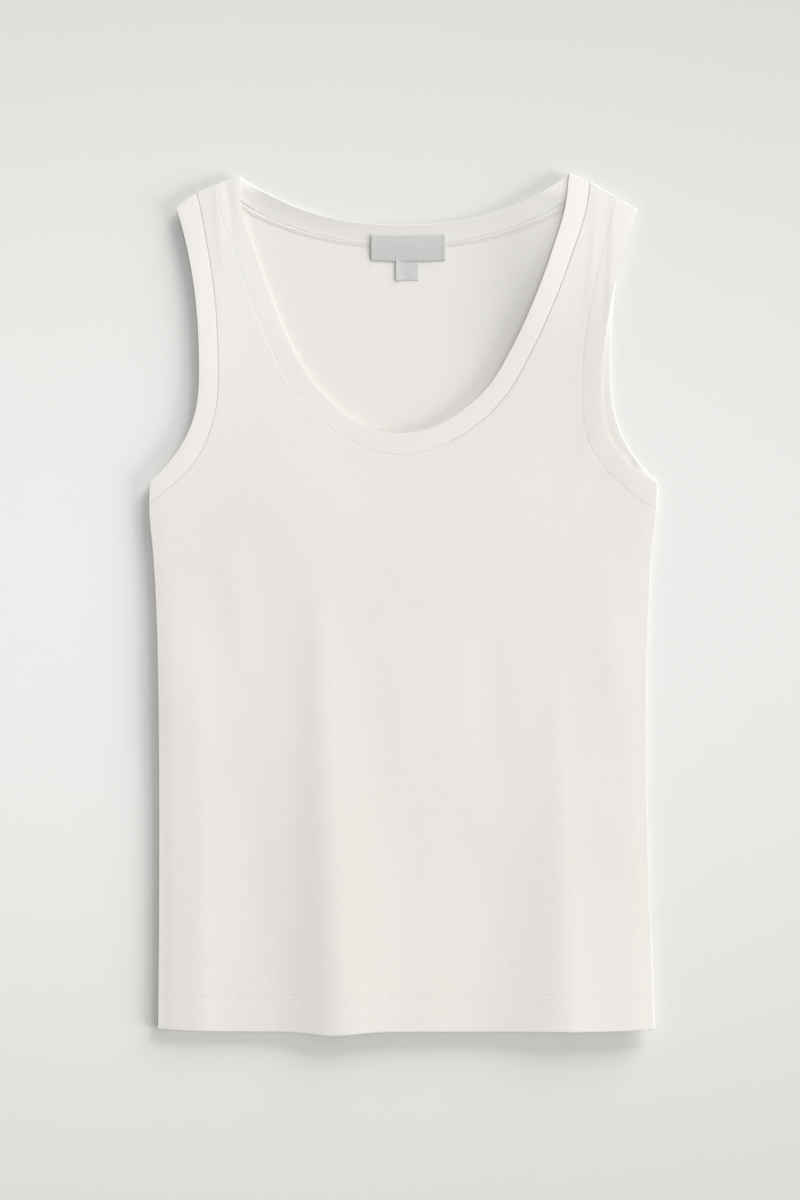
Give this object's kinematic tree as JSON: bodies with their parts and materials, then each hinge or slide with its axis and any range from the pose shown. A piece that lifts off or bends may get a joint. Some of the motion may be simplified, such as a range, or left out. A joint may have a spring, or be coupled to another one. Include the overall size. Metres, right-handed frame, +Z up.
{
  "type": "tank top",
  "caption": "Sleeveless jersey tank top with a scoop neck, bound neck and armholes and a turned-up hem, laid out flat on its back.",
  "frame": {"origin": "middle of the garment as seen from above, on the surface that it lies on", "axes": "+Y up the garment from hem to shoulders, +X across it to the right as seen from above, +Z up from the surface, out of its front"},
  "size_m": [0.376, 0.637, 0.0091],
  "materials": {
    "jersey": "matt off-white cotton jersey",
    "binding": "matt off-white cotton jersey, folded double",
    "label": "grey woven satin tape"
  },
  "bodies": {
    "root": {"front_panel": "jersey", "back_panel": "jersey", "neck_binding": "binding", "armhole_binding_left": "binding", "armhole_binding_right": "binding", "neck_label": "label", "size_tab": "label"}
  },
  "joints": []
}
